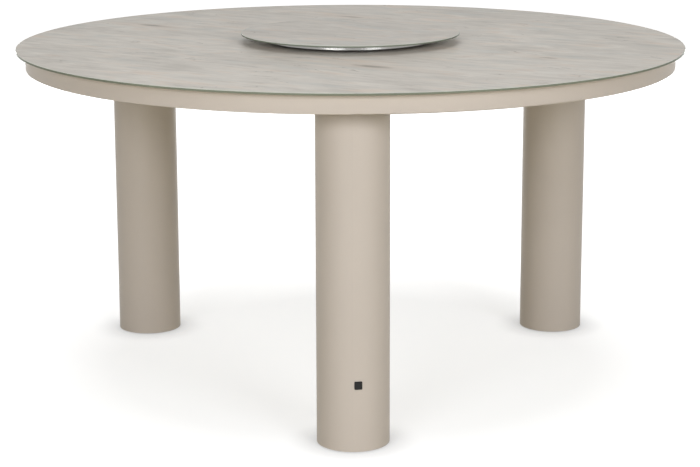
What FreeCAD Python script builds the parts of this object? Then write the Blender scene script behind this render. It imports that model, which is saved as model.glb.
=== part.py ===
import FreeCAD, Part
import os
import Sketcher

V = FreeCAD.Vector

# Driving sizes in millimetres, plus counts and two angles in degrees.
SIZES = [
    ("table_height", 750, "floor to the top of the tabletop glass"),
    ("glass_diameter", 1500, "tabletop glass"),
    ("glass_thickness", 5, "tabletop glass"),
    ("glass_edge_round", 1, "rounded edge of the tabletop glass"),
    ("pad_thickness", 1.5, "soft pads under the tabletop glass"),
    ("rim_pad_diameter", 18, "pads on the frame"),
    ("rim_pad_count", 12, "pads on the frame"),
    ("spoke_pad_diameter", 24, "pads on the spokes"),
    ("spoke_pad_radius", 380, "table axis to each spoke pad"),
    ("glass_overhang", 21, "glass beyond the outside of the frame"),
    ("frame_height", 38.5, "frame tube"),
    ("frame_width", 25, "frame tube"),
    ("frame_wall", 2, "frame tube"),
    ("frame_edge_round", 2, "long edges of the frame tube"),
    ("drain_hole_diameter", 6, "holes in the floor of the frame tube"),
    ("drain_hole_count", 6, "holes in the floor of the frame tube"),
    ("spoke_width", 40, "spoke tube"),
    ("spoke_wall", 2, "spoke tube"),
    ("hub_diameter", 120, "hub where the spokes meet"),
    ("hub_wall", 6, "rim of the hub"),
    ("hub_web", 5, "top web of the hub"),
    ("weld_gap", 0.2, "room left at each welded joint"),
    ("mount_plate_thickness", 8, "plates under the main spokes"),
    ("mount_plate_margin", 10, "plate beyond the leg on each side"),
    ("mount_plate_corner", 12, "corner radius of the plate"),
    ("leg_diameter", 150, "leg tube"),
    ("leg_wall", 3, "leg tube"),
    ("leg_edge_round", 0.8, "lower outer edge of the leg tube"),
    ("leg_inset", 53, "inside of the frame to the outside of the leg"),
    ("leg_ground_gap", 2, "floor to the lower end of the leg tube"),
    ("top_plate_thickness", 10, "plate welded into the top of the leg"),
    ("base_plate_thickness", 8, "plate welded into the bottom of the leg"),
    ("bolt_circle_diameter", 100, "circle of four bolts on each leg"),
    ("bolt_diameter", 8, "shank"),
    ("bolt_length", 20, "shank under the head"),
    ("bolt_head_diameter", 13, "socket head"),
    ("bolt_head_height", 8, "socket head"),
    ("bolt_socket_width", 6, "hexagon socket across flats"),
    ("bolt_socket_depth", 4, "hexagon socket"),
    ("bolt_clearance", 0.5, "radial room in the mount plate and washer"),
    ("thread_gap", 0.05, "radial room of a thread"),
    ("washer_diameter", 16, "under each bolt head"),
    ("washer_thickness", 1.6, "under each bolt head"),
    ("foot_pad_diameter", 60, "levelling foot"),
    ("foot_pad_height", 10, "levelling foot"),
    ("foot_pad_chamfer", 2.5, "upper edge of the foot pad"),
    ("foot_stem_diameter", 10, "threaded stem"),
    ("foot_stem_length", 45, "threaded stem above its collar"),
    ("foot_collar_width", 17, "hexagon collar across flats"),
    ("foot_collar_height", 6, "hexagon collar"),
    ("foot_spigot_diameter", 14, "swivel end of the stem"),
    ("foot_spigot_depth", 6, "swivel end of the stem in the pad"),
    ("foot_fit", 0.05, "radial running room of the stem"),
    ("foot_hole_clearance", 0.5, "radial room of the stem in the base plate"),
    ("foot_seat_gap", 0.3, "axial room above and below the collar"),
    ("foot_nut_width", 17, "across flats"),
    ("foot_nut_height", 15, "nut on the base plate"),
    ("badge_width", 16, "badge on the front leg"),
    ("badge_height", 17, "badge on the front leg"),
    ("badge_thickness", 0.8, "badge on the front leg"),
    ("badge_corner", 2, "corner radius of the badge"),
    ("badge_centre_height", 142, "floor to the middle of the badge"),
    ("badge_angle", 7.6, "degrees round the leg from its front"),
    ("badge_gap", 0.05, "glue under the badge"),
    ("susan_diameter", 495, "turntable glass"),
    ("susan_thickness", 4, "turntable glass"),
    ("susan_edge_round", 1, "rounded edge of the turntable glass"),
    ("susan_foot_diameter", 10, "clear feet under the inner race"),
    ("susan_foot_height", 2.5, "clear feet under the inner race"),
    ("susan_foot_count", 6, "clear feet under the inner race"),
    ("susan_foot_angle", 6.5, "degrees from the front to the first foot"),
    ("susan_pad_diameter", 8, "pads on the outer race"),
    ("susan_pad_thickness", 4.5, "pads on the outer race"),
    ("susan_pad_count", 8, "pads on the outer race"),
    ("bearing_diameter", 376, "outside of the outer race"),
    ("bearing_ring_width", 12, "each race"),
    ("bearing_ring_height", 9, "each race"),
    ("bearing_edge_round", 0.8, "outer edges of the outer race"),
    ("bearing_flare", 1, "outer race narrower at its top, on the radius"),
    ("outer_ring_lift", 2.5, "outer race above the inner race"),
    ("ring_gap", 3, "between the races"),
    ("ball_diameter", 5, "bearing balls"),
    ("ball_count", 36, "bearing balls"),
    ("ball_fit", 0.05, "radial running room of a ball in its track"),
    ("cage_thickness", 1.6, "ball cage"),
    ("cage_height", 8, "ball cage"),
    ("cage_fit", 0.15, "radial room of a ball in its pocket"),
]

# Directions of the legs seen from above, and of the braces opposite them.
LEG_ANGLES = {"front": -90, "right": 30, "left": 150}
BRACE_ANGLES = {"back": 90, "front_left": 210, "front_right": -30}
LEG_COUNT = len(LEG_ANGLES)
CLOSE = 0.1  # how near an edge has to be to count as the one looked for

# Heights and radii that follow from the driving sizes.
GLASS_BOTTOM = "(Sizes.table_height - Sizes.glass_thickness)"
FRAME_TOP = f"({GLASS_BOTTOM} - Sizes.pad_thickness)"
FRAME_BOTTOM = f"({FRAME_TOP} - Sizes.frame_height)"
FRAME_OUTER = "(Sizes.glass_diameter / 2 - Sizes.glass_overhang)"
FRAME_INNER = f"({FRAME_OUTER} - Sizes.frame_width)"
FRAME_MIDDLE = f"({FRAME_OUTER} - Sizes.frame_width / 2)"
SPOKE_BOTTOM = f"({FRAME_BOTTOM} + Sizes.mount_plate_thickness)"
SPOKE_HEIGHT = "(Sizes.frame_height - Sizes.mount_plate_thickness)"
HUB_RADIUS = "(Sizes.hub_diameter / 2)"
LEG_RADIUS = "(Sizes.leg_diameter / 2)"
LEG_BORE = f"({LEG_RADIUS} - Sizes.leg_wall)"
LEG_PLATE_RADIUS = f"({LEG_BORE} - Sizes.weld_gap)"
LEG_CIRCLE = f"({FRAME_INNER} - Sizes.leg_inset - {LEG_RADIUS})"
BOLT_OFFSET = "(Sizes.bolt_circle_diameter / 2 * cos(45 deg))"
STEM_RADIUS = "(Sizes.foot_stem_diameter / 2)"
COLLAR_BOTTOM = "(Sizes.foot_pad_height + Sizes.foot_seat_gap)"
BASE_PLATE_BOTTOM = f"({COLLAR_BOTTOM} + Sizes.foot_collar_height + Sizes.foot_seat_gap)"
NUT_BOTTOM = f"({BASE_PLATE_BOTTOM} + Sizes.base_plate_thickness)"
INNER_RING_BOTTOM = "(Sizes.table_height + Sizes.susan_foot_height)"
OUTER_RING_BOTTOM = f"({INNER_RING_BOTTOM} + Sizes.outer_ring_lift)"
OUTER_RING_TOP = f"({OUTER_RING_BOTTOM} + Sizes.bearing_ring_height)"
OUTER_RING_OUTER = "(Sizes.bearing_diameter / 2)"
OUTER_RING_INNER = f"({OUTER_RING_OUTER} - Sizes.bearing_ring_width)"
OUTER_RING_TOP_EDGE = f"({OUTER_RING_OUTER} - Sizes.bearing_flare)"
INNER_RING_OUTER = f"({OUTER_RING_INNER} - Sizes.ring_gap)"
INNER_RING_INNER = f"({INNER_RING_OUTER} - Sizes.bearing_ring_width)"
BALL_PITCH = f"({OUTER_RING_INNER} - Sizes.ring_gap / 2)"
BALL_LEVEL = f"({INNER_RING_BOTTOM} + (Sizes.bearing_ring_height + Sizes.outer_ring_lift) / 2)"
TRACK_RADIUS = "(Sizes.ball_diameter / 2 + Sizes.ball_fit)"

doc = FreeCAD.newDocument("dining_table")
sheet = doc.addObject("Spreadsheet::Sheet", "Sizes")
for row, (alias, amount, note) in enumerate(SIZES, start=1):
    sheet.set(f"A{row}", alias)
    sheet.set(f"B{row}", str(amount))
    sheet.set(f"C{row}", note)
    sheet.setAlias(f"B{row}", alias)
doc.recompute()

nodes = []


def number(expression):
    return float(sheet.evalExpression(expression))


def origin_item(body, role):
    return next(item for item in body.Origin.OriginFeatures if item.Role == role)


def new_body(label, several=False):
    body = doc.addObject("PartDesign::Body", label)
    body.Label = label
    body.AllowCompound = several
    nodes.append(body)
    return body


def new_sketch(body, name, plane="XY_Plane", offset="0"):
    sketch = body.newObject("Sketcher::SketchObject", f"{body.Name}_{name}")
    sketch.AttachmentSupport = [(origin_item(body, plane), "")]
    sketch.MapMode = "FlatFace"
    sketch.setExpression("AttachmentOffset.Base.z", offset)
    return sketch


def bind(sketch, constraint, expression):
    index = sketch.addConstraint(constraint)
    sketch.setExpression(f"Constraints[{index}]", expression)


def pin(sketch, line, point, x, y):
    for kind, axis, expression in (("DistanceX", -2, x), ("DistanceY", -1, y)):
        if expression == "0":
            sketch.addConstraint(Sketcher.Constraint("PointOnObject", line, point, axis))
        else:
            amount = number(expression)
            bind(sketch, Sketcher.Constraint(kind, -1, 1, line, point, amount), expression)


def add_circle(sketch, radius, x="0", y="0"):
    centre = V(number(x), number(y), 0)
    circle = sketch.addGeometry(Part.Circle(centre, V(0, 0, 1), number(radius)), False)
    bind(sketch, Sketcher.Constraint("Radius", circle, number(radius)), radius)
    pin(sketch, circle, 3, x, y)


def add_profile(sketch, corners):
    first = sketch.GeometryCount
    points = [V(number(x), number(y), 0) for x, y in corners]
    for start, end in zip(points, points[1:] + points[:1]):
        sketch.addGeometry(Part.LineSegment(start, end), False)
    for index in range(len(corners)):
        following = first + (index + 1) % len(corners)
        sketch.addConstraint(Sketcher.Constraint("Coincident", first + index, 2, following, 1))
    for index, (x, y) in enumerate(corners):
        pin(sketch, first + index, 1, x, y)


def add_rectangle(sketch, x0, x1, y0, y1):
    add_profile(sketch, [(x0, y0), (x1, y0), (x1, y1), (x0, y1)])


def add_hexagon(sketch, across_flats, x, y):
    corners = []
    for turn in range(0, 360, 60):
        dx = f"{across_flats} / sqrt(3) * cos({turn} deg)"
        dy = f"{across_flats} / sqrt(3) * sin({turn} deg)"
        corners.append((f"({x} + {dx})", f"({y} + {dy})"))
    add_profile(sketch, corners)


def add_feature(body, kind, name, sketch):
    feature = body.newObject(f"PartDesign::{kind}", f"{body.Name}_{name}")
    feature.Profile = sketch
    sketch.Visibility = False
    return feature


def pad(body, sketch, length, name="pad", down=False):
    feature = add_feature(body, "Pad", name, sketch)
    feature.setExpression("Length", length)
    feature.Reversed = down
    doc.recompute()
    return feature


def pocket(body, sketch, depth, name="pocket", up=True):
    feature = add_feature(body, "Pocket", name, sketch)
    feature.setExpression("Length", depth)
    feature.Reversed = up
    doc.recompute()
    return feature


def revolve(body, sketch, name="turned", cut=False):
    feature = add_feature(body, "Groove" if cut else "Revolution", name, sketch)
    feature.ReferenceAxis = (sketch, ["V_Axis"])
    feature.Angle = 360
    doc.recompute()
    return feature


def round_edges(body, feature, radius, wanted):
    names = [f"Edge{i}" for i, edge in enumerate(feature.Shape.Edges, start=1) if wanted(edge)]
    rounded = body.newObject("PartDesign::Fillet", f"{body.Name}_edges")
    rounded.Base = (feature, names)
    rounded.setExpression("Radius", radius)
    doc.recompute()


def pattern(body, features, count, refine=True):
    copies = body.newObject("PartDesign::PolarPattern", f"{body.Name}_pattern")
    copies.Originals = features
    copies.Refine = refine
    copies.Axis = (origin_item(body, "Z_Axis"), [""])
    copies.Angle = 360
    copies.setExpression("Occurrences", count)
    body.Tip = copies
    doc.recompute()


def seat(item, height, radius="0", angle=0, turn="0"):
    item.setExpression("Placement.Rotation.Angle", f"({angle} + {turn}) * 1 deg")
    item.setExpression("Placement.Base.x", f"{radius} * cos({angle} deg)")
    item.setExpression("Placement.Base.y", f"{radius} * sin({angle} deg)")
    item.setExpression("Placement.Base.z", height)


def is_round(edge):
    return isinstance(edge.Curve, Part.Circle)


def has_radius(edge, expression):
    return is_round(edge) and abs(edge.Curve.Radius - number(expression)) < CLOSE


def disc(label, diameter, thickness, edge_round, height):
    body = new_body(label)
    sketch = new_sketch(body, "outline")
    add_circle(sketch, f"{diameter} / 2")
    plate = pad(body, sketch, thickness)
    round_edges(body, plate, edge_round, is_round)
    seat(body, height)


def pad_group(label, diameter, thickness, radius, count, height, angle=0, turn="0"):
    body = new_body(label, several=True)
    sketch = new_sketch(body, "outline")
    add_circle(sketch, f"{diameter} / 2", x=radius)
    pattern(body, [pad(body, sketch, thickness)], count)
    seat(body, height, angle=angle, turn=turn)


def make_frame_ring():
    body = new_body("frame_ring")
    section = new_sketch(body, "section", "XZ_Plane")
    add_rectangle(section, FRAME_INNER, FRAME_OUTER, "0", "Sizes.frame_height")
    wall = "Sizes.frame_wall"
    near, far = f"{FRAME_INNER} + {wall}", f"{FRAME_OUTER} - {wall}"
    add_rectangle(section, near, far, wall, f"Sizes.frame_height - {wall}")
    tube = revolve(body, section)

    def is_outside(edge):
        return has_radius(edge, FRAME_INNER) or has_radius(edge, FRAME_OUTER)

    round_edges(body, tube, "Sizes.frame_edge_round", is_outside)
    drains = new_sketch(body, "drains")
    add_circle(drains, "Sizes.drain_hole_diameter / 2", x=FRAME_MIDDLE)
    pattern(body, [pocket(body, drains, "Sizes.frame_wall * 2")], "Sizes.drain_hole_count")
    seat(body, FRAME_BOTTOM)


def keep_between(body, inner, outer, reach, depth):
    # Trims a body to the space between two cylinders round its own axis.
    sketch = new_sketch(body, "trim")
    for radius in (inner, outer, reach):
        add_circle(sketch, radius)
    pocket(body, sketch, depth, name="trim")


def make_spoke(label, angle):
    body = new_body(label)
    section = new_sketch(body, "section", "YZ_Plane")
    wall = "Sizes.spoke_wall"
    half = "Sizes.spoke_width / 2"
    add_rectangle(section, f"-{half}", half, "0", SPOKE_HEIGHT)
    add_rectangle(section, f"-({half} - {wall})", f"{half} - {wall}", wall, f"{SPOKE_HEIGHT} - {wall}")
    pad(body, section, FRAME_OUTER)
    near = f"{HUB_RADIUS} + Sizes.weld_gap"
    far = f"{FRAME_INNER} - Sizes.weld_gap"
    keep_between(body, near, far, "Sizes.glass_diameter", SPOKE_HEIGHT)
    seat(body, SPOKE_BOTTOM, angle=angle)


def make_hub():
    body = new_body("hub")
    section = new_sketch(body, "section", "XZ_Plane")
    bore = f"{HUB_RADIUS} - Sizes.hub_wall"
    web = f"{SPOKE_HEIGHT} - Sizes.hub_web"
    corners = [("0", web), (bore, web), (bore, "0")]
    corners += [(HUB_RADIUS, "0"), (HUB_RADIUS, SPOKE_HEIGHT), ("0", SPOKE_HEIGHT)]
    add_profile(section, corners)
    revolve(body, section)
    seat(body, SPOKE_BOTTOM)


def bolt_centres(centre):
    return [(f"({centre} {x} {BOLT_OFFSET})", f"(0 {y} {BOLT_OFFSET})") for x in "+-" for y in "+-"]


def add_bolt_circles(sketch, radius, centre="0"):
    for x, y in bolt_centres(centre):
        add_circle(sketch, radius, x, y)


def make_mount_plate(label, angle):
    body = new_body(label)
    outline = new_sketch(body, "outline")
    half = f"({LEG_RADIUS} + Sizes.mount_plate_margin)"
    add_rectangle(outline, f"-{half}", half, f"-{half}", half)
    plate = pad(body, outline, "Sizes.mount_plate_thickness")

    def is_upright(edge):
        return abs(edge.tangentAt(edge.FirstParameter).z) > 0.9

    round_edges(body, plate, "Sizes.mount_plate_corner", is_upright)
    holes = new_sketch(body, "holes")
    add_bolt_circles(holes, "Sizes.bolt_diameter / 2 + Sizes.bolt_clearance")
    pocket(body, holes, "Sizes.mount_plate_thickness")
    seat(body, FRAME_BOTTOM, LEG_CIRCLE, angle)


def make_leg_tube(label, angle):
    body = new_body(label)
    section = new_sketch(body, "section")
    add_circle(section, LEG_RADIUS)
    add_circle(section, LEG_BORE)
    tube = pad(body, section, f"{FRAME_BOTTOM} - Sizes.leg_ground_gap")

    def is_lower_rim(edge):
        return has_radius(edge, LEG_RADIUS) and edge.Curve.Center.z < CLOSE

    round_edges(body, tube, "Sizes.leg_edge_round", is_lower_rim)
    seat(body, "Sizes.leg_ground_gap", LEG_CIRCLE, angle)


def make_top_plate(label, angle):
    body = new_body(label)
    outline = new_sketch(body, "outline")
    add_circle(outline, LEG_PLATE_RADIUS)
    add_bolt_circles(outline, "Sizes.bolt_diameter / 2 + Sizes.thread_gap")
    pad(body, outline, "Sizes.top_plate_thickness")
    seat(body, f"{FRAME_BOTTOM} - Sizes.top_plate_thickness", LEG_CIRCLE, angle)


def make_base_plate(label, angle):
    body = new_body(label)
    outline = new_sketch(body, "outline")
    add_circle(outline, LEG_PLATE_RADIUS)
    add_circle(outline, f"{STEM_RADIUS} + Sizes.foot_hole_clearance")
    pad(body, outline, "Sizes.base_plate_thickness")
    seat(body, BASE_PLATE_BOTTOM, LEG_CIRCLE, angle)


def make_bolts():
    body = new_body("leg_bolts", several=True)
    heads = new_sketch(body, "heads")
    add_bolt_circles(heads, "Sizes.bolt_head_diameter / 2", LEG_CIRCLE)
    head = pad(body, heads, "Sizes.bolt_head_height", name="head")
    shanks = new_sketch(body, "shanks")
    add_bolt_circles(shanks, "Sizes.bolt_diameter / 2", LEG_CIRCLE)
    shank = pad(body, shanks, "Sizes.bolt_length", name="shank", down=True)
    sockets = new_sketch(body, "sockets", offset="Sizes.bolt_head_height")
    for x, y in bolt_centres(LEG_CIRCLE):
        add_hexagon(sockets, "Sizes.bolt_socket_width", x, y)
    socket = pocket(body, sockets, "Sizes.bolt_socket_depth", name="socket", up=False)
    pattern(body, [head, shank, socket], str(LEG_COUNT))
    seat(body, f"{SPOKE_BOTTOM} + Sizes.washer_thickness", angle=LEG_ANGLES["front"])


def make_washers():
    body = new_body("leg_washers", several=True)
    outline = new_sketch(body, "outline")
    add_bolt_circles(outline, "Sizes.washer_diameter / 2", LEG_CIRCLE)
    add_bolt_circles(outline, "Sizes.bolt_diameter / 2 + Sizes.bolt_clearance", LEG_CIRCLE)
    pattern(body, [pad(body, outline, "Sizes.washer_thickness")], str(LEG_COUNT))
    seat(body, SPOKE_BOTTOM, angle=LEG_ANGLES["front"])


def make_foot_nut(label, angle):
    body = new_body(label)
    outline = new_sketch(body, "outline")
    add_hexagon(outline, "Sizes.foot_nut_width", "0", "0")
    add_circle(outline, f"{STEM_RADIUS} + Sizes.foot_fit")
    pad(body, outline, "Sizes.foot_nut_height")
    seat(body, NUT_BOTTOM, LEG_CIRCLE, angle)


def make_foot_stem(label, angle):
    body = new_body(label)
    collar = new_sketch(body, "collar")
    add_hexagon(collar, "Sizes.foot_collar_width", "0", "0")
    pad(body, collar, "Sizes.foot_collar_height", name="collar")
    stem = new_sketch(body, "stem")
    add_circle(stem, STEM_RADIUS)
    pad(body, stem, "Sizes.foot_collar_height + Sizes.foot_stem_length", name="stem")
    spigot = new_sketch(body, "spigot")
    add_circle(spigot, "Sizes.foot_spigot_diameter / 2")
    pad(body, spigot, "Sizes.foot_spigot_depth", name="spigot", down=True)
    seat(body, COLLAR_BOTTOM, LEG_CIRCLE, angle)


def make_foot_pad(label, angle):
    body = new_body(label)
    section = new_sketch(body, "section", "XZ_Plane")
    rim = "Sizes.foot_pad_diameter / 2"
    top = "Sizes.foot_pad_height"
    bore = "Sizes.foot_spigot_diameter / 2 + Sizes.foot_fit"
    floor = f"{top} - Sizes.foot_spigot_depth"
    slope = "Sizes.foot_pad_chamfer"
    corners = [("0", "0"), (rim, "0"), (rim, f"{top} - {slope}"), (f"{rim} - {slope}", top)]
    corners += [(bore, top), (bore, floor), ("0", floor)]
    add_profile(section, corners)
    revolve(body, section)
    seat(body, "0", LEG_CIRCLE, angle)


def make_badge():
    body = new_body("leg_badge")
    face = new_sketch(body, "face", "YZ_Plane")
    half = "Sizes.badge_width / 2"
    add_rectangle(face, f"-{half}", half, "0", "Sizes.badge_height")
    block = pad(body, face, "Sizes.leg_diameter")

    def is_along(edge):
        return abs(edge.tangentAt(edge.FirstParameter).x) > 0.9

    round_edges(body, block, "Sizes.badge_corner", is_along)
    back = f"{LEG_RADIUS} + Sizes.badge_gap"
    front = f"{back} + Sizes.badge_thickness"
    keep_between(body, back, front, "Sizes.leg_diameter * 2", "Sizes.badge_height")
    bottom = "Sizes.badge_centre_height - Sizes.badge_height / 2"
    seat(body, bottom, LEG_CIRCLE, LEG_ANGLES["front"], "Sizes.badge_angle")


def make_race(label, inner, outer, outer_top, bottom, edge_radius=None):
    body = new_body(label)
    section = new_sketch(body, "section", "XZ_Plane")
    top = "Sizes.bearing_ring_height"
    add_profile(section, [(inner, "0"), (outer, "0"), (outer_top, top), (inner, top)])
    ring = revolve(body, section)

    def is_outside(edge):
        return has_radius(edge, outer) or has_radius(edge, outer_top)

    if edge_radius:
        round_edges(body, ring, edge_radius, is_outside)
    track = new_sketch(body, "track", "XZ_Plane")
    add_circle(track, TRACK_RADIUS, x=BALL_PITCH, y=f"{BALL_LEVEL} - {bottom}")
    revolve(body, track, name="track", cut=True)
    seat(body, bottom)


def make_balls():
    body = new_body("bearing_balls", several=True)
    ball = body.newObject("PartDesign::AdditiveSphere", "ball")
    ball.setExpression("Radius", "Sizes.ball_diameter / 2")
    ball.setExpression("Placement.Base.x", BALL_PITCH)
    doc.recompute()
    pattern(body, [ball], "Sizes.ball_count")
    seat(body, BALL_LEVEL)


def make_cage():
    body = new_body("ball_cage")
    section = new_sketch(body, "section", "XZ_Plane")
    half = "Sizes.cage_thickness / 2"
    add_rectangle(section, f"{BALL_PITCH} - {half}", f"{BALL_PITCH} + {half}", "0", "Sizes.cage_height")
    link = revolve(body, section)
    link.Midplane = True
    link.setExpression("Angle", "360 deg / Sizes.ball_count")
    hole = new_sketch(body, "pocket", "YZ_Plane", f"{BALL_PITCH} - Sizes.cage_thickness")
    add_circle(hole, "Sizes.ball_diameter / 2 + Sizes.cage_fit", y="Sizes.cage_height / 2")
    drilled = pocket(body, hole, "Sizes.cage_thickness * 2")
    pattern(body, [link, drilled], "Sizes.ball_count", refine=False)
    seat(body, f"{BALL_LEVEL} - Sizes.cage_height / 2")


disc(
    "tabletop_glass",
    "Sizes.glass_diameter",
    "Sizes.glass_thickness",
    "Sizes.glass_edge_round",
    GLASS_BOTTOM,
)
pad_group(
    "rim_pads",
    "Sizes.rim_pad_diameter",
    "Sizes.pad_thickness",
    FRAME_MIDDLE,
    "Sizes.rim_pad_count",
    FRAME_TOP,
)
spoke_count = str(len(LEG_ANGLES) + len(BRACE_ANGLES))
pad_group(
    "spoke_pads",
    "Sizes.spoke_pad_diameter",
    "Sizes.pad_thickness",
    "Sizes.spoke_pad_radius",
    spoke_count,
    FRAME_TOP,
    LEG_ANGLES["front"],
)
make_frame_ring()
make_hub()
for side, angle in BRACE_ANGLES.items():
    make_spoke(f"brace_spoke_{side}", angle)
for side, angle in LEG_ANGLES.items():
    make_spoke(f"leg_spoke_{side}", angle)
    make_mount_plate(f"mount_plate_{side}", angle)
    make_leg_tube(f"leg_tube_{side}", angle)
    make_top_plate(f"leg_top_plate_{side}", angle)
    make_base_plate(f"leg_base_plate_{side}", angle)
    make_foot_nut(f"foot_nut_{side}", angle)
    make_foot_stem(f"foot_stem_{side}", angle)
    make_foot_pad(f"foot_pad_{side}", angle)
make_bolts()
make_washers()
make_badge()

pad_group(
    "susan_feet",
    "Sizes.susan_foot_diameter",
    "Sizes.susan_foot_height",
    f"({INNER_RING_OUTER} - Sizes.bearing_ring_width / 2)",
    "Sizes.susan_foot_count",
    "Sizes.table_height",
    LEG_ANGLES["front"],
    "Sizes.susan_foot_angle",
)
make_race("bearing_inner_ring", INNER_RING_INNER, INNER_RING_OUTER, INNER_RING_OUTER, INNER_RING_BOTTOM)
make_race(
    "bearing_outer_ring",
    OUTER_RING_INNER,
    OUTER_RING_OUTER,
    OUTER_RING_TOP_EDGE,
    OUTER_RING_BOTTOM,
    "Sizes.bearing_edge_round",
)
make_balls()
make_cage()
pad_group(
    "susan_pads",
    "Sizes.susan_pad_diameter",
    "Sizes.susan_pad_thickness",
    f"(({OUTER_RING_INNER} + {OUTER_RING_TOP_EDGE}) / 2)",
    "Sizes.susan_pad_count",
    OUTER_RING_TOP,
)
disc(
    "susan_glass",
    "Sizes.susan_diameter",
    "Sizes.susan_thickness",
    "Sizes.susan_edge_round",
    f"{OUTER_RING_TOP} + Sizes.susan_pad_thickness",
)
doc.recompute()

for item in doc.Objects:
    if "Invalid" in item.State or "Error" in item.State:
        raise RuntimeError(f"{item.Label} did not build: {item.State}")
os.makedirs("parts", exist_ok=True)
for node in nodes:
    if node.Shape.isNull() or not node.Shape.isValid() or node.Shape.Volume <= 0:
        raise RuntimeError(f"{node.Label} has no valid solid")
    node.Shape.exportStep(f"parts/{node.Label}.step")
print(len(nodes), "nodes written")
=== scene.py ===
import math

import bpy
from mathutils import Euler, Matrix, Vector


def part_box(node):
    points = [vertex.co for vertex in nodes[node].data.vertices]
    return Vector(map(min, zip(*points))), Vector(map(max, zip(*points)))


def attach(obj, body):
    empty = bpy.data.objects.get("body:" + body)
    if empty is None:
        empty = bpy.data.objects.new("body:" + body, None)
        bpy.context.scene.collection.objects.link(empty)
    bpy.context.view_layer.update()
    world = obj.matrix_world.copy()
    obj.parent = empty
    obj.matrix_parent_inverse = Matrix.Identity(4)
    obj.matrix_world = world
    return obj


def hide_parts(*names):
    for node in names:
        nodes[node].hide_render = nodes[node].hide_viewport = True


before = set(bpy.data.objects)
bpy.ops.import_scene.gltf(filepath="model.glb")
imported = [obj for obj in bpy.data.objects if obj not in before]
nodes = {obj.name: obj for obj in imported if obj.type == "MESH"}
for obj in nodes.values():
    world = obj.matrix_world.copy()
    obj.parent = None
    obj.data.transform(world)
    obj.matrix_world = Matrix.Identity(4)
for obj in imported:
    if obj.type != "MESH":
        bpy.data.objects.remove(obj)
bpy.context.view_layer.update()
sides = ("front", "right", "left")
print("frame loaded:", len(nodes), "nodes")

black = (0.0, 0.0, 0.0, 1.0)
white = (1.0, 1.0, 1.0, 1.0)
noiseMiddle = 0.5
noiseSpan = (0.3, 0.7)  # most of a noise lies between these
smoothAngle = 35.0  # degrees; edges sharper than this stay crisp


# Helpers for node trees. A feed is a socket to link or a value to set.
def feed(tree, node, feeds):
    for key, value in feeds.items():
        if isinstance(value, bpy.types.NodeSocket):
            tree.links.new(value, node.inputs[key])
        else:
            node.inputs[key].default_value = value


def put(tree, kind, feeds=None, **settings):
    node = tree.nodes.new(kind)
    for name, value in settings.items():
        setattr(node, name, value)
    feed(tree, node, feeds or {})
    return node


def addSockets(tree, direction, sockets):
    for label, kind in sockets.items():
        tree.interface.new_socket(label, in_out=direction, socket_type="NodeSocket" + kind)


def calc(tree, operation, a, b=0.0):
    return put(tree, "ShaderNodeMath", {0: a, 1: b}, operation=operation).outputs[0]


def remap(tree, value, low, high, toLow=0.0, toHigh=1.0):
    feeds = {"Value": value, "From Min": low, "From Max": high, "To Min": toLow, "To Max": toHigh}
    return put(tree, "ShaderNodeMapRange", feeds, clamp=True).outputs["Result"]


def spread(tree, value, toLow=0.0, toHigh=1.0):
    return remap(tree, value, *noiseSpan, toLow, toHigh)


def centred(tree, value):
    return calc(tree, "SUBTRACT", value, noiseMiddle)


def mixColor(tree, factor, a, b):
    return put(tree, "ShaderNodeMix", {0: factor, 6: a, 7: b}, data_type="RGBA").outputs[2]


def mixValue(tree, factor, a, b):
    return put(tree, "ShaderNodeMix", {0: factor, 2: a, 3: b}, data_type="FLOAT").outputs[0]


def scaled(tree, color, factor):
    return put(tree, "ShaderNodeVectorMath", {0: color, "Scale": factor}, operation="SCALE").outputs[0]


def lengthOf(tree, vector):
    return put(tree, "ShaderNodeVectorMath", {0: vector}, operation="LENGTH").outputs["Value"]


# Distance from the Z axis, and height.
def radial(tree, place):
    parts = put(tree, "ShaderNodeSeparateXYZ", {0: place}).outputs
    flat = put(tree, "ShaderNodeCombineXYZ", {"X": parts["X"], "Y": parts["Y"]}).outputs[0]
    return lengthOf(tree, flat), parts["Z"]


def noise(tree, vector, scale, detail=2.0, roughness=0.5, distortion=0.0):
    feeds = {"Vector": vector, "Scale": scale, "Detail": detail, "Roughness": roughness, "Distortion": distortion}
    return put(tree, "ShaderNodeTexNoise", feeds).outputs["Fac"]


def bump(tree, height, strength, distance):
    feeds = {"Height": height, "Strength": strength, "Distance": distance}
    return put(tree, "ShaderNodeBump", feeds).outputs["Normal"]


def newGroup(name, inputs, outputs):
    tree = bpy.data.node_groups.new(name, "ShaderNodeTree")
    addSockets(tree, "INPUT", inputs)
    addSockets(tree, "OUTPUT", outputs)
    return tree, tree.nodes.new("NodeGroupInput").outputs, tree.nodes.new("NodeGroupOutput").inputs


def placeGroup(tree, group, feeds):
    return put(tree, "ShaderNodeGroup", feeds, node_tree=group).outputs


def newMaterial(name):
    material = bpy.data.materials.new(name)
    material.use_nodes = True
    tree = material.node_tree
    shader = tree.nodes["Principled BSDF"]
    place = tree.nodes.new("ShaderNodeTexCoord").outputs["Object"]
    return material, tree, shader, place


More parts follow.
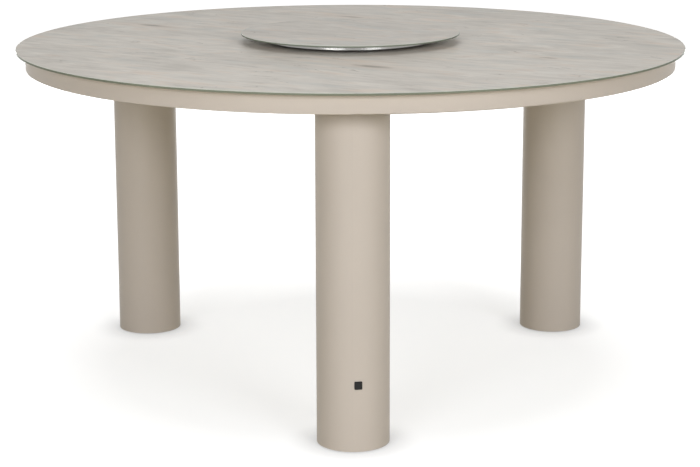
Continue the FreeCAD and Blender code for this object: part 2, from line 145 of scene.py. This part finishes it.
# Weathered stone print: pale grey with slanting streaks, warm stains and a few dark knots.
stonePrint = {
    "slant": math.radians(-34.0),
    "tints": {
        "base": (0.627, 0.595, 0.556, 1.0),
        "pale": (0.792, 0.760, 0.716, 1.0),
        "dark": (0.420, 0.392, 0.358, 1.0),
        "warm": (0.689, 0.585, 0.503, 1.0),
        "cool": (0.551, 0.562, 0.548, 1.0),
        "vein": (0.282, 0.255, 0.227, 1.0),
    },
    "grains": {  # length and width of a fleck, then detail, roughness and distortion
        "clouds": (0.36, 0.20, 3.0, 0.55, 0.0),
        "streaks": (0.130, 0.045, 5.0, 0.60, 0.4),
        "threads": (0.075, 0.018, 3.0, 0.55, 0.0),
        "stains": (0.12, 0.045, 3.0, 0.55, 0.0),
        "coolness": (0.16, 0.060, 3.0, 0.55, 0.0),
        "veins": (0.160, 0.050, 3.0, 0.5, 0.2),
        "veinPatches": (0.12, 0.07, 1.0, 0.55, 0.0),
    },
    "washes": [  # grain, its value where the tint starts and where it is full, strength, tint
        ("streaks", 0.50, 0.70, 0.80, "pale"),
        ("streaks", 0.48, 0.30, 0.57, "dark"),
        ("clouds", 0.36, 0.66, 0.36, "pale"),
        ("stains", 0.54, 0.70, 0.62, "warm"),
        ("coolness", 0.54, 0.70, 0.56, "cool"),
        ("threads", 0.54, 0.74, 0.36, "dark"),
        ("threads", 0.44, 0.26, 0.30, "pale"),
    ],
    "veinWidth": 0.014,
    "veinStrength": 0.6,
    "veinPatchSpan": (0.52, 0.68),
    "knots": [(0.012, 0.470, 0.060), (0.045, -0.400, 0.060), (-0.480, 0.310, 0.050), (0.420, -0.280, 0.035)],
    "knotLevel": 0.75,
    "knotFlatness": 0.28,
    "knotRaggedness": 1.8,
    "knotRings": [(0.3, 3.0, 0.50, "warm"), (0.1, 0.9, 0.80, "vein")],  # full within, gone beyond, strength, tint
}


def slanted(tree, place, length, width, centre=(0.0, 0.0, 0.0)):
    feeds = {"Vector": place, "Location": centre, "Rotation": (0.0, 0.0, stonePrint["slant"])}
    feeds["Scale"] = (length, width, 1.0)
    return put(tree, "ShaderNodeMapping", feeds, vector_type="TEXTURE").outputs["Vector"]


def buildStoneGroup():
    look, tints = stonePrint, stonePrint["tints"]
    tree, given, result = newGroup("stonePrint", {"Vector": "Vector"}, {"Color": "Color"})
    place = given["Vector"]
    grains = {}
    for name, (length, width, *texture) in look["grains"].items():
        grains[name] = noise(tree, slanted(tree, place, length, width), 1.0, *texture)
    color = tints["base"]
    for name, start, full, strength, tint in look["washes"]:
        color = mixColor(tree, remap(tree, grains[name], start, full, 0.0, strength), color, tints[tint])
    ridge = calc(tree, "ABSOLUTE", centred(tree, grains["veins"]))
    line = remap(tree, ridge, 0.0, look["veinWidth"], look["veinStrength"], 0.0)
    vein = calc(tree, "MULTIPLY", line, remap(tree, grains["veinPatches"], *look["veinPatchSpan"]))
    color = mixColor(tree, vein, color, tints["vein"])
    ragged = calc(tree, "MULTIPLY", centred(tree, grains["streaks"]), look["knotRaggedness"])
    for x, y, size in look["knots"]:
        local = slanted(tree, place, size, size * look["knotFlatness"], (x, y, look["knotLevel"]))
        away = calc(tree, "ADD", lengthOf(tree, local), ragged)
        for near, far, strength, tint in look["knotRings"]:
            color = mixColor(tree, remap(tree, away, near, far, strength, 0.0), color, tints[tint])
    tree.links.new(color, result["Color"])
    return tree


# Printed glass: noises are given as scale, detail and roughness, bumps as strength and distance.
glassLook = {
    "tableTone": 1.0,
    "susanTone": 0.915,
    "edgeRound": 0.001,
    "edgeInset": 1.2,  # in edge rounds
    "edgeDepth": 0.75,  # in edge rounds
    "edge": (0.132, 0.152, 0.122, 1.0),
    "edgePale": (0.230, 0.248, 0.205, 1.0),
    "edgeClouds": (9.0, 2.0, 0.5),
    # painted highlight: the arris is coloured pale to stand in for its reflection of the lamps
    "arrisHighlight": (0.620, 0.660, 0.610, 1.0),
    "back": (0.815, 0.803, 0.755, 1.0),
    "backSpeck": (0.73, 0.73, 0.71, 1.0),
    "backGrain": (300.0, 2.0, 0.5),
    "backStrength": 0.12,
    "etch": (700.0, 2.0, 0.6),
    "faceRoughness": (0.31, 0.39),
    "edgeRoughness": 0.16,
    "ior": 1.45,
    "specular": 0.03,
    "bump": (0.05, 0.0004),
}


# Tells the face, the ground arris (where a pale highlight is painted), the green edge and the back of a glass disc
# apart.
def buildRimGroup():
    tree, given, result = newGroup(
        "discRim",
        {"Vector": "Vector", "Radius": "Float", "Top": "Float", "Round": "Float"},
        {"Edge": "Float", "ArrisHighlight": "Float", "Underside": "Float"},
    )
    reach, height = radial(tree, given["Vector"])
    inset = calc(tree, "SUBTRACT", given["Radius"], reach)
    depth = calc(tree, "SUBTRACT", given["Top"], height)
    nearRim = calc(tree, "LESS_THAN", inset, calc(tree, "MULTIPLY", given["Round"], glassLook["edgeInset"]))
    below = calc(tree, "GREATER_THAN", depth, calc(tree, "MULTIPLY", given["Round"], glassLook["edgeDepth"]))
    edge = calc(tree, "MULTIPLY", nearRim, below)
    away = calc(tree, "SUBTRACT", 1.0, nearRim)
    tree.links.new(edge, result["Edge"])
    # mask of the arris band, where the painted highlight goes
    tree.links.new(calc(tree, "SUBTRACT", nearRim, edge), result["ArrisHighlight"])
    tree.links.new(calc(tree, "MULTIPLY", below, away), result["Underside"])
    return tree


stoneGroup = buildStoneGroup()
rimGroup = buildRimGroup()


def buildPrintedGlass(name, box, tone):
    look = glassLook
    material, tree, shader, place = newMaterial(name)
    stone = placeGroup(tree, stoneGroup, {"Vector": place})
    feeds = {"Vector": place, "Radius": box[1][0], "Top": box[1][2], "Round": look["edgeRound"]}
    rim = placeGroup(tree, rimGroup, feeds)
    green = mixColor(tree, noise(tree, place, *look["edgeClouds"]), look["edge"], look["edgePale"])
    color = mixColor(tree, rim["Edge"], scaled(tree, stone["Color"], tone), green)
    # painted highlight along the arris
    color = mixColor(tree, rim["ArrisHighlight"], color, look["arrisHighlight"])
    specks = spread(tree, noise(tree, place, *look["backGrain"]), 0.0, look["backStrength"])
    color = mixColor(tree, rim["Underside"], color, mixColor(tree, specks, look["back"], look["backSpeck"]))
    etched = noise(tree, place, *look["etch"])
    face = spread(tree, etched, *look["faceRoughness"])
    feed(tree, shader, {
        "Base Color": color,
        "Roughness": mixValue(tree, rim["Edge"], face, look["edgeRoughness"]),
        "IOR": look["ior"],
        "Specular IOR Level": look["specular"],
        "Normal": bump(tree, etched, *look["bump"]),
    })
    return material


# Powder coat on the frame, legs and plates: a faint drift of tone under a fine pebbled skin.
coatLook = {
    "color": (0.478, 0.434, 0.404, 1.0),
    "broad": (5.0, 2.0, 0.5),
    "drift": 0.05,
    "speck": (420.0, 2.0, 0.6),
    "speckStrength": 0.05,
    "roughness": (0.43, 0.53),
    "ior": 1.45,
    "bump": (0.12, 0.0004),
}


def buildPebbleGroup():
    look = coatLook
    tree, given, result = newGroup(
        "pebbledCoat",
        {"Vector": "Vector", "Color": "Color", "Drift": "Float"},
        {"Color": "Color", "Roughness": "Float", "Height": "Float"},
    )
    broad = noise(tree, given["Vector"], *look["broad"])
    speck = noise(tree, given["Vector"], *look["speck"])
    drift = calc(tree, "MULTIPLY", centred(tree, broad), given["Drift"])
    pebble = calc(tree, "MULTIPLY", centred(tree, speck), look["speckStrength"])
    light = calc(tree, "ADD", calc(tree, "ADD", drift, pebble), 1.0)
    tree.links.new(scaled(tree, given["Color"], light), result["Color"])
    tree.links.new(spread(tree, speck, *look["roughness"]), result["Roughness"])
    tree.links.new(speck, result["Height"])
    return tree


pebbleGroup = buildPebbleGroup()


def buildPowderCoat(name):
    look = coatLook
    material, tree, shader, place = newMaterial(name)
    coat = placeGroup(tree, pebbleGroup, {"Vector": place, "Color": look["color"], "Drift": look["drift"]})
    feed(tree, shader, {
        "Base Color": coat["Color"],
        "Roughness": coat["Roughness"],
        "IOR": look["ior"],
        "Normal": bump(tree, coat["Height"], *look["bump"]),
    })
    return material


# Bearing races: bright metal with fine lathe lines.
ringLook = {
    "color": (0.460, 0.460, 0.450, 1.0),
    "shade": (0.390, 0.390, 0.380, 1.0),
    "lines": (2600.0, 3.0, 0.6),
    "smear": (14.0, 3.0, 0.5),
    "roughness": (0.22, 0.30),
    "bump": (0.06, 0.0002),
}


def buildTurnedMetal(name):
    look = ringLook
    material, tree, shader, place = newMaterial(name)
    reach, height = radial(tree, place)
    turned = put(tree, "ShaderNodeCombineXYZ", {"X": reach, "Z": height}).outputs[0]
    lines = noise(tree, turned, *look["lines"])
    feed(tree, shader, {
        "Base Color": mixColor(tree, noise(tree, place, *look["smear"]), look["color"], look["shade"]),
        "Metallic": 1.0,
        "Roughness": spread(tree, lines, *look["roughness"]),
        "Normal": bump(tree, lines, *look["bump"]),
    })
    return material


# Plated and polished steel.
zincLook = {"color": (0.62, 0.62, 0.63, 1.0), "shade": (0.48, 0.48, 0.47, 1.0), "roughness": (0.28, 0.42)}
ballLook = {"color": (0.66, 0.66, 0.67, 1.0), "shade": (0.58, 0.58, 0.59, 1.0), "roughness": (0.08, 0.14)}
platedSkin = {"mottle": (130.0, 4.0, 0.6), "bump": (0.04, 0.0003)}


def buildPlated(name, look):
    material, tree, shader, place = newMaterial(name)
    mottle = noise(tree, place, *platedSkin["mottle"])
    feed(tree, shader, {
        "Base Color": mixColor(tree, mottle, look["color"], look["shade"]),
        "Metallic": 1.0,
        "Roughness": spread(tree, mottle, *look["roughness"]),
        "Normal": bump(tree, mottle, *platedSkin["bump"]),
    })
    return material


# Moulded plastics and rubber.
footLook = {
    "color": (0.022, 0.022, 0.023, 1.0), "shade": (0.034, 0.034, 0.035, 1.0),
    "roughness": (0.50, 0.64), "texture": (900.0, 3.0, 0.6), "specular": 0.5,
}
badgeLook = {
    "color": (0.010, 0.010, 0.011, 1.0), "shade": (0.018, 0.018, 0.018, 1.0),
    "roughness": (0.28, 0.40), "texture": (1600.0, 3.0, 0.6), "specular": 0.2,
}
padLook = {
    "color": (0.300, 0.300, 0.295, 1.0), "shade": (0.360, 0.360, 0.350, 1.0),
    "roughness": (0.55, 0.70), "texture": (500.0, 3.0, 0.6), "specular": 0.5,
}
cageLook = {
    "color": (0.700, 0.690, 0.650, 1.0), "shade": (0.640, 0.630, 0.590, 1.0),
    "roughness": (0.40, 0.52), "texture": (600.0, 3.0, 0.6), "specular": 0.5,
}
mouldedBump = (0.15, 0.0004)


def buildMoulded(name, look):
    material, tree, shader, place = newMaterial(name)
    texture = noise(tree, place, *look["texture"])
    feed(tree, shader, {
        "Base Color": mixColor(tree, spread(tree, texture), look["color"], look["shade"]),
        "Roughness": spread(tree, texture, *look["roughness"]),
        "Specular IOR Level": look["specular"],
        "Normal": bump(tree, texture, *mouldedBump),
    })
    return material


siliconeLook = {
    "color": (0.86, 0.88, 0.87, 1.0),
    "shade": (0.78, 0.81, 0.80, 1.0),
    "haze": (180.0, 2.0, 0.5),
    "roughness": (0.14, 0.26),
    "clearness": 0.55,
    "ior": 1.41,
}


def buildClearSilicone(name):
    look = siliconeLook
    material, tree, shader, place = newMaterial(name)
    haze = noise(tree, place, *look["haze"])
    feed(tree, shader, {
        "Base Color": mixColor(tree, haze, look["color"], look["shade"]),
        "Roughness": spread(tree, haze, *look["roughness"]),
        "Transmission Weight": look["clearness"],
        "IOR": look["ior"],
    })
    return material


tableBox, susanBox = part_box("tabletop_glass"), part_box("susan_glass")
tabletopPrint = buildPrintedGlass("tabletopPrint", tableBox, glassLook["tableTone"])
turntablePrint = buildPrintedGlass("turntablePrint", susanBox, glassLook["susanTone"])
powderCoat = buildPowderCoat("powderCoat")
polishedRing = buildTurnedMetal("polishedRing")
zincPlate = buildPlated("zincPlate", zincLook)
ballSteel = buildPlated("ballSteel", ballLook)
footPlastic = buildMoulded("footPlastic", footLook)
badgeBlack = buildMoulded("badgeBlack", badgeLook)
softPad = buildMoulded("softPad", padLook)
cagePlastic = buildMoulded("cagePlastic", cageLook)
clearSilicone = buildClearSilicone("clearSilicone")

finishes = [  # material, and how the names of its nodes start
    (tabletopPrint, ("tabletop_glass",)),
    (turntablePrint, ("susan_glass",)),
    (powderCoat, ("frame_ring", "hub", "leg_spoke", "brace_spoke", "mount_plate", "leg_tube", "leg_top", "leg_base")),
    (polishedRing, ("bearing_outer", "bearing_inner")),
    (zincPlate, ("leg_bolts", "leg_washers", "foot_nut", "foot_stem")),
    (ballSteel, ("bearing_balls",)),
    (footPlastic, ("foot_pad",)),
    (badgeBlack, ("leg_badge",)),
    (softPad, ("rim_pads", "spoke_pads", "susan_pads")),
    (cagePlastic, ("ball_cage",)),
    (clearSilicone, ("susan_feet",)),
]
for name, node in nodes.items():
    chosen = [material for material, starts in finishes if name.startswith(starts)]
    node.data.materials.clear()
    node.data.materials.append(chosen[0])
print("finishes set on", len(nodes), "nodes")


def link(name, data):
    piece = bpy.data.objects.new(name, data)
    bpy.context.scene.collection.objects.link(piece)
    return piece


def soften(mesh, angle=smoothAngle):
    mesh.polygons.foreach_set("use_smooth", [True] * len(mesh.polygons))
    mesh.set_sharp_from_angle(angle=math.radians(angle))
    mesh.update()


# Turned shapes: a profile of (radius, height) points from axis to axis, anticlockwise, swept round Z.
def lathe(name, profile, segments):
    mesh = bpy.data.meshes.new(name)
    points, faces, rows = [], [], []
    for radius, height in profile:
        count = segments if radius > 0.0 else 1  # one point on the axis
        rows.append((len(points), count))
        for step in range(count):
            angle = 2 * math.pi * step / segments
            points.append((radius * math.cos(angle), radius * math.sin(angle), height))
    for (low, lowCount), (high, highCount) in zip(rows, rows[1:]):
        for step in range(segments):
            after = (step + 1) % segments
            face = [low + step % lowCount, low + after % lowCount]
            face += [high + after % highCount, high + step % highCount]
            faces.append([corner for spot, corner in enumerate(face) if corner not in face[:spot]])
    mesh.from_pydata(points, [], faces)
    soften(mesh)
    return mesh


# Helpers for Geometry Nodes.
def newTree(name, inputs):
    tree = bpy.data.node_groups.new(name, "GeometryNodeTree")
    addSockets(tree, "INPUT", {"Geometry": "Geometry", **inputs})
    addSockets(tree, "OUTPUT", {"Geometry": "Geometry"})
    return tree, tree.nodes.new("NodeGroupInput").outputs


def endTree(tree, geometry, material):
    solid = put(tree, "GeometryNodeRealizeInstances", {"Geometry": geometry}).outputs["Geometry"]
    smooth = put(tree, "GeometryNodeSetShadeSmooth", {"Geometry": solid, "Shade Smooth": True}).outputs["Geometry"]
    dressed = put(tree, "GeometryNodeSetMaterial", {"Geometry": smooth, "Material": material}).outputs["Geometry"]
    put(tree, "NodeGroupOutput", {"Geometry": dressed})


def alongZ(tree, value):
    return put(tree, "ShaderNodeCombineXYZ", {"Z": value}).outputs[0]


def moved(tree, geometry, feeds):
    return put(tree, "GeometryNodeTransform", {"Geometry": geometry, **feeds}).outputs["Geometry"]


def circleOf(tree, count, radius):
    return put(tree, "GeometryNodeMeshCircle", {"Vertices": count, "Radius": radius}).outputs["Mesh"]


def repeat(tree, points, instance, feeds):
    feeds = {"Points": points, "Instance": instance, **feeds}
    return put(tree, "GeometryNodeInstanceOnPoints", feeds).outputs["Instances"]


def joined(tree, *parts):
    node = tree.nodes.new("GeometryNodeJoinGeometry")
    for part in parts:
        tree.links.new(part, node.inputs[0])
    return node.outputs[0]


def grow(name, mesh, tree, values, angle=smoothAngle):
    piece = link(name, mesh)
    modifier = piece.modifiers.new(name, "NODES")
    modifier.node_group = tree
    sockets = {item.name: item.identifier for item in tree.interface.items_tree if item.in_out == "INPUT"}
    for label, value in values.items():
        modifier[sockets[label]] = value
    evaluated = piece.evaluated_get(bpy.context.evaluated_depsgraph_get())
    grown = bpy.data.meshes.new_from_object(evaluated)
    piece.modifiers.remove(modifier)
    piece.data = grown
    soften(grown, angle)
    return piece


# Domed clear bumpers that the turntable stands on.
domeFeet = {
    "inputs": {"Count": 6, "Circle": 0.167, "Start": math.radians(-83.5), "Level": 0.75},
    "profile": [
        (0.0, 0.0), (0.0016, 0.0), (0.0030, 0.0003), (0.0041, 0.0010),
        (0.0048, 0.0018), (0.0050, 0.0025), (0.0, 0.0025),
    ],
    "segments": 40,
    "smoothAngle": 60.0,
}


def buildDomeFeet():
    shape = domeFeet
    tree, given = newTree("domeFeet", {"Count": "Int", "Circle": "Float", "Start": "Float", "Level": "Float"})
    spots = repeat(tree, circleOf(tree, given["Count"], given["Circle"]), given["Geometry"], {})
    feeds = {"Translation": alongZ(tree, given["Level"]), "Rotation": alongZ(tree, given["Start"])}
    endTree(tree, moved(tree, spots, feeds), clearSilicone)
    foot = lathe("domeFoot", shape["profile"], shape["segments"])
    piece = grow("domeFeet", foot, tree, shape["inputs"], shape["smoothAngle"])
    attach(piece, "susan_base")
    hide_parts("susan_feet")


# Weld beads where the spokes meet the ring, the hub and the leg plates.
weldBeads = {
    "inputs": {"Spacing": 0.0030, "Radius": 0.0019, "Seed": 11},
    "spokes": (-90.0, 30.0, 150.0, 90.0, 210.0, -30.0),  # degrees, those over the legs first
    "legSpokes": 3,
    "half": 0.0200, "low": 0.7130, "high": 0.7414,  # a spoke's half width, underside and top
    "hubReach": 0.0602, "ringReach": 0.7037,
    "plateNear": 0.4950, "plateFar": 0.6570,
    "steps": 8,
    "rippleDetail": 2, "rippleLow": (0.85, 0.80, 0.90), "rippleHigh": (1.05, 1.10, 1.10),
    "smoothAngle": 60.0,
}


def weldPaths():
    shape = weldBeads
    half, low, high, steps = shape["half"], shape["low"], shape["high"], shape["steps"]
    points, edges = [], []
    for spot, degrees in enumerate(shape["spokes"]):
        angle = math.radians(degrees)
        along = Vector((math.cos(angle), math.sin(angle), 0.0))
        across = Vector((-math.sin(angle), math.cos(angle), 0.0))
        paths = []
        for reach in (shape["hubReach"], shape["ringReach"]):  # down one side, under and up the other
            under = [(half * (1 - 2 * step / steps), low) for step in range(steps + 1)]
            outline = [(half, high)] + under + [(-half, high)]
            paths.append([(math.sqrt(reach ** 2 - offset ** 2), offset, height) for offset, height in outline])
        if spot < shape["legSpokes"]:
            ends = (shape["plateNear"], shape["plateFar"])
            paths += [[(end, side * half, low) for end in ends] for side in (-1, 1)]
        for path in paths:
            first = len(points)
            points += [along * a + across * b + Vector((0.0, 0.0, c)) for a, b, c in path]
            edges += [(first + step, first + step + 1) for step in range(len(path) - 1)]
    return points, edges


def buildWeldBeads():
    shape = weldBeads
    tree, given = newTree("weldBeads", {"Spacing": "Float", "Radius": "Float", "Seed": "Int"})
    path = put(tree, "GeometryNodeMeshToCurve", {"Mesh": given["Geometry"]}).outputs["Curve"]
    feeds = {"Curve": path, "Length": given["Spacing"]}
    dots = put(tree, "GeometryNodeCurveToPoints", feeds, mode="LENGTH").outputs
    feeds = {"Radius": given["Radius"], "Subdivisions": shape["rippleDetail"]}
    ripple = put(tree, "GeometryNodeMeshIcoSphere", feeds).outputs["Mesh"]
    feeds = {"Min": shape["rippleLow"], "Max": shape["rippleHigh"], "Seed": given["Seed"]}
    size = put(tree, "FunctionNodeRandomValue", feeds, data_type="FLOAT_VECTOR").outputs["Value"]
    beads = repeat(tree, dots["Points"], ripple, {"Rotation": dots["Rotation"], "Scale": size})
    endTree(tree, beads, powderCoat)
    mesh = bpy.data.meshes.new("weldPaths")
    points, edges = weldPaths()
    mesh.from_pydata(points, edges, [])
    piece = grow("weldBeads", mesh, tree, shape["inputs"], shape["smoothAngle"])
    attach(piece, "table")


# Levelling feet: stems with a thread and a hexagon collar, and pads with a ribbed sole.
stemShape = {
    "inputs": {"Turns": 28.66, "Reach": 0.0043, "Height": 0.0430, "Start": 0.0168, "Ridge": 0.00066},
    "threadSteps": 24, "threadSides": 6,
    "spigot": [(0.0, 0.0043), (0.0067, 0.0043), (0.0070, 0.0046), (0.0070, 0.0108), (0.0, 0.0108)],
    "core": [(0.0, 0.0158), (0.0043, 0.0158), (0.0043, 0.0600), (0.0034, 0.0611), (0.0, 0.0611)],
    "segments": 36,
    "collarSides": 6, "collarTurn": 90.0, "collarAcrossFlats": 0.017, "collarLow": 0.0103, "collarHigh": 0.0163,
}
padShape = {
    "inputs": {"Ribs": 24, "Circle": 0.0180, "Size": (0.0172, 0.0016, 0.0016), "Level": 0.0008},
    "profile": [
        (0.0, 0.0012), (0.0080, 0.0012), (0.0083, 0.0), (0.0095, 0.0), (0.0098, 0.0012),
        (0.0262, 0.0012), (0.0265, 0.0), (0.0292, 0.0), (0.0300, 0.0008), (0.0300, 0.0075),
        (0.0275, 0.0100), (0.00705, 0.0100), (0.00705, 0.0040), (0.0, 0.0040),
    ],
    "segments": 72,
}


def stemMesh():
    shape, count = stemShape, stemShape["collarSides"]
    mesh = bpy.data.meshes.new("stemBody")
    points, faces = [], []
    for profile in (shape["spigot"], shape["core"]):
        part = lathe("stemPart", profile, shape["segments"])
        first = len(points)
        points += [tuple(vertex.co) for vertex in part.vertices]
        faces += [[first + corner for corner in face.vertices] for face in part.polygons]
    first = len(points)
    reach = shape["collarAcrossFlats"] / math.sqrt(3)
    for height in (shape["collarLow"], shape["collarHigh"]):
        for step in range(count):
            angle = math.radians(shape["collarTurn"] + 360 / count * step)
            points.append((reach * math.cos(angle), reach * math.sin(angle), height))
    lower = list(range(first, first + count))
    upper = list(range(first + count, first + 2 * count))
    faces += [lower[::-1], upper]
    for step in range(count):
        after = (step + 1) % count
        faces.append([lower[step], lower[after], upper[after], upper[step]])
    mesh.from_pydata(points, [], faces)
    return mesh


def buildStemTree():
    tree, given = newTree("threadedStem", {
        "Turns": "Float", "Reach": "Float", "Height": "Float", "Start": "Float", "Ridge": "Float", "Place": "Vector",
    })
    feeds = {"Resolution": stemShape["threadSteps"], "Rotations": given["Turns"], "Height": given["Height"]}
    feeds.update({"Start Radius": given["Reach"], "End Radius": given["Reach"]})
    helix = put(tree, "GeometryNodeCurveSpiral", feeds).outputs["Curve"]
    feeds = {"Resolution": stemShape["threadSides"], "Radius": given["Ridge"]}
    section = put(tree, "GeometryNodeCurvePrimitiveCircle", feeds).outputs["Curve"]
    feeds = {"Curve": helix, "Profile Curve": section, "Fill Caps": True}
    ridge = put(tree, "GeometryNodeCurveToMesh", feeds).outputs["Mesh"]
    ridge = moved(tree, ridge, {"Translation": alongZ(tree, given["Start"])})
    whole = joined(tree, given["Geometry"], ridge)
    endTree(tree, moved(tree, whole, {"Translation": given["Place"]}), zincPlate)
    return tree


def buildPadTree():
    tree, given = newTree("ribbedPad", {
        "Ribs": "Int", "Circle": "Float", "Size": "Vector", "Level": "Float", "Place": "Vector",
    })
    ring = circleOf(tree, given["Ribs"], given["Circle"])
    feeds = {"Vector": put(tree, "GeometryNodeInputPosition").outputs[0]}
    outward = put(tree, "FunctionNodeAlignRotationToVector", feeds, axis="X").outputs["Rotation"]
    bar = put(tree, "GeometryNodeMeshCube", {"Size": given["Size"]}).outputs["Mesh"]
    ribs = repeat(tree, ring, bar, {"Rotation": outward})
    ribs = moved(tree, ribs, {"Translation": alongZ(tree, given["Level"])})
    whole = joined(tree, given["Geometry"], ribs)
    endTree(tree, moved(tree, whole, {"Translation": given["Place"]}), footPlastic)
    return tree


def buildFeet():
    stemTree, padTree = buildStemTree(), buildPadTree()
    for side in sides:
        low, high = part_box(f"foot_pad_{side}")
        place = ((low[0] + high[0]) / 2, (low[1] + high[1]) / 2, 0.0)
        stem = grow(f"threadedStem_{side}", stemMesh(), stemTree, {**stemShape["inputs"], "Place": place})
        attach(stem, f"stem_{side}")
        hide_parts(f"foot_stem_{side}")
        body = lathe("padBody", padShape["profile"], padShape["segments"])
        pad = grow(f"ribbedPad_{side}", body, padTree, {**padShape["inputs"], "Place": place})
        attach(pad, f"foot_{side}")
        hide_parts(f"foot_pad_{side}")


buildDomeFeet()
buildWeldBeads()
buildFeet()
print("pieces built")


# White studio: floor and world look white and light the object warmly; the floor keeps the object's shadow, and a
# painted contact shadow darkens it round the legs.
studio = {
    "floorSize": 60.0,
    "floorTone": (0.875, 0.80, 0.60, 1.0),  # what the floor reflects on to the object
    "seenTone": (0.452, 0.461, 0.478, 1.0),  # what it shows, with its glow on top
    "glow": 0.69,
    "fade": (0.55, 0.98),  # metres from the middle over which it turns plain white
    # painted contact shadow: ambient occlusion darkens the floor's glow and seen tone round the leg feet
    "contactReach": 0.07,
    "contactShade": 0.70,
    "contactSpan": (0.5, 1.0),
    "contactSamples": 16,
    "worldTone": (1.0, 0.93, 0.74, 1.0),
    "worldStrength": 0.15,
}


# One where the eye or a mirror looks, zero where light bounces.
def seesWhite(tree):
    path = tree.nodes.new("ShaderNodeLightPath").outputs
    seen = calc(tree, "MAXIMUM", path["Is Camera Ray"], path["Is Glossy Ray"])
    return calc(tree, "MAXIMUM", seen, path["Is Transmission Ray"])


def floorMaterial():
    look = studio
    material = bpy.data.materials.new("studioFloor")
    material.use_nodes = True
    tree = material.node_tree
    tree.nodes.clear()
    seen = seesWhite(tree)
    away = lengthOf(tree, tree.nodes.new("ShaderNodeTexCoord").outputs["Object"])
    # painted contact shadow: where ambient occlusion finds the legs close, the glow and the seen tone are darkened
    feeds = {"Distance": look["contactReach"]}
    clearance = put(tree, "ShaderNodeAmbientOcclusion", feeds, samples=look["contactSamples"]).outputs["AO"]
    contactShadow = remap(tree, clearance, *look["contactSpan"], look["contactShade"], 1.0)
    glowing = calc(tree, "MULTIPLY", contactShadow, remap(tree, away, *look["fade"], look["glow"], 1.0))
    shown = mixColor(tree, contactShadow, black, look["seenTone"])
    matte = put(tree, "ShaderNodeBsdfDiffuse", {"Color": mixColor(tree, seen, look["floorTone"], shown)})
    glow = put(tree, "ShaderNodeEmission", {"Strength": calc(tree, "MULTIPLY", seen, glowing)})
    both = put(tree, "ShaderNodeAddShader", {0: matte.outputs[0], 1: glow.outputs[0]})
    clear = tree.nodes.new("ShaderNodeBsdfTransparent")  # seen through from below
    backfacing = tree.nodes.new("ShaderNodeNewGeometry").outputs["Backfacing"]
    feeds = {0: calc(tree, "MULTIPLY", backfacing, seen), 1: both.outputs[0], 2: clear.outputs[0]}
    sheet = put(tree, "ShaderNodeMixShader", feeds)
    put(tree, "ShaderNodeOutputMaterial", {"Surface": sheet.outputs[0]})
    return material


def buildFloor():
    half = studio["floorSize"] / 2
    mesh = bpy.data.meshes.new("studioFloor")
    corners = [(-half, -half, 0.0), (half, -half, 0.0), (half, half, 0.0), (-half, half, 0.0)]
    mesh.from_pydata(corners, [], [(0, 1, 2, 3)])
    mesh.materials.append(floorMaterial())
    floor = link("studioFloor", mesh)


def buildWorld():
    world = bpy.data.worlds.new("studioWorld")
    bpy.context.scene.world = world
    world.use_nodes = True
    tree = world.node_tree
    tree.nodes.clear()
    seen = seesWhite(tree)
    strength = remap(tree, seen, 0.0, 1.0, studio["worldStrength"], 1.0)
    tone = mixColor(tree, seen, studio["worldTone"], white)
    light = put(tree, "ShaderNodeBackground", {"Color": tone, "Strength": strength})
    put(tree, "ShaderNodeOutputWorld", {"Surface": light.outputs[0]})


softboxes = {
    "keyLeft": {"place": (-2.8, -6.6, 2.7), "aim": (0.0, 0.0, 0.5), "size": (3.2, 2.3), "power": 226.0},
    "keyRight": {"place": (3.7, -6.1, 2.8), "aim": (0.0, 0.0, 0.5), "size": (2.8, 2.3), "power": 228.0},
    "topBox": {"place": (0.0, -0.6, 3.8), "aim": (0.0, 0.0, 0.5), "size": (3.0, 3.0), "power": 39.0},
    "backFill": {"place": (0.0, 4.5, 0.4), "aim": (0.0, 0.0, 0.4), "size": (5.0, 0.6), "power": 80.0},
}


def buildSoftboxes():
    for name, box in softboxes.items():
        lamp = bpy.data.lights.new(name, "AREA")
        lamp.shape = "RECTANGLE"
        lamp.size, lamp.size_y = box["size"]
        lamp.energy = box["power"]
        holder = link(name, lamp)
        holder.location = box["place"]
        aim = Vector(box["aim"]) - Vector(box["place"])
        holder.rotation_euler = aim.to_track_quat("-Z", "Y").to_euler()


# Fitted to the photograph, whose frame sits off its optical centre: hence the vertical shift.
photoCamera = {
    "place": (-0.02965, -4.31818, 1.31525),
    "pitch": 0.20687,
    "heading": -0.00648,
    "roll": -0.00248,
    "lens": 98.377,
    "sensor": 36.0,
    "shiftY": -0.0643,
}


def buildCamera():
    fit = photoCamera
    lens = bpy.data.cameras.new("photoCamera")
    lens.sensor_fit = "HORIZONTAL"
    lens.sensor_width = fit["sensor"]
    lens.lens = fit["lens"]
    lens.shift_y = fit["shiftY"]
    camera = link("photoCamera", lens)
    level = Euler((math.pi / 2 - fit["pitch"], 0.0, fit["heading"])).to_matrix()
    camera.location = fit["place"]
    camera.rotation_euler = (level @ Matrix.Rotation(fit["roll"], 3, "Z")).to_euler()
    bpy.context.scene.camera = camera


buildFloor()
buildWorld()
buildSoftboxes()
buildCamera()
bpy.context.scene.view_settings.view_transform = "Standard"
print("studio and camera set")
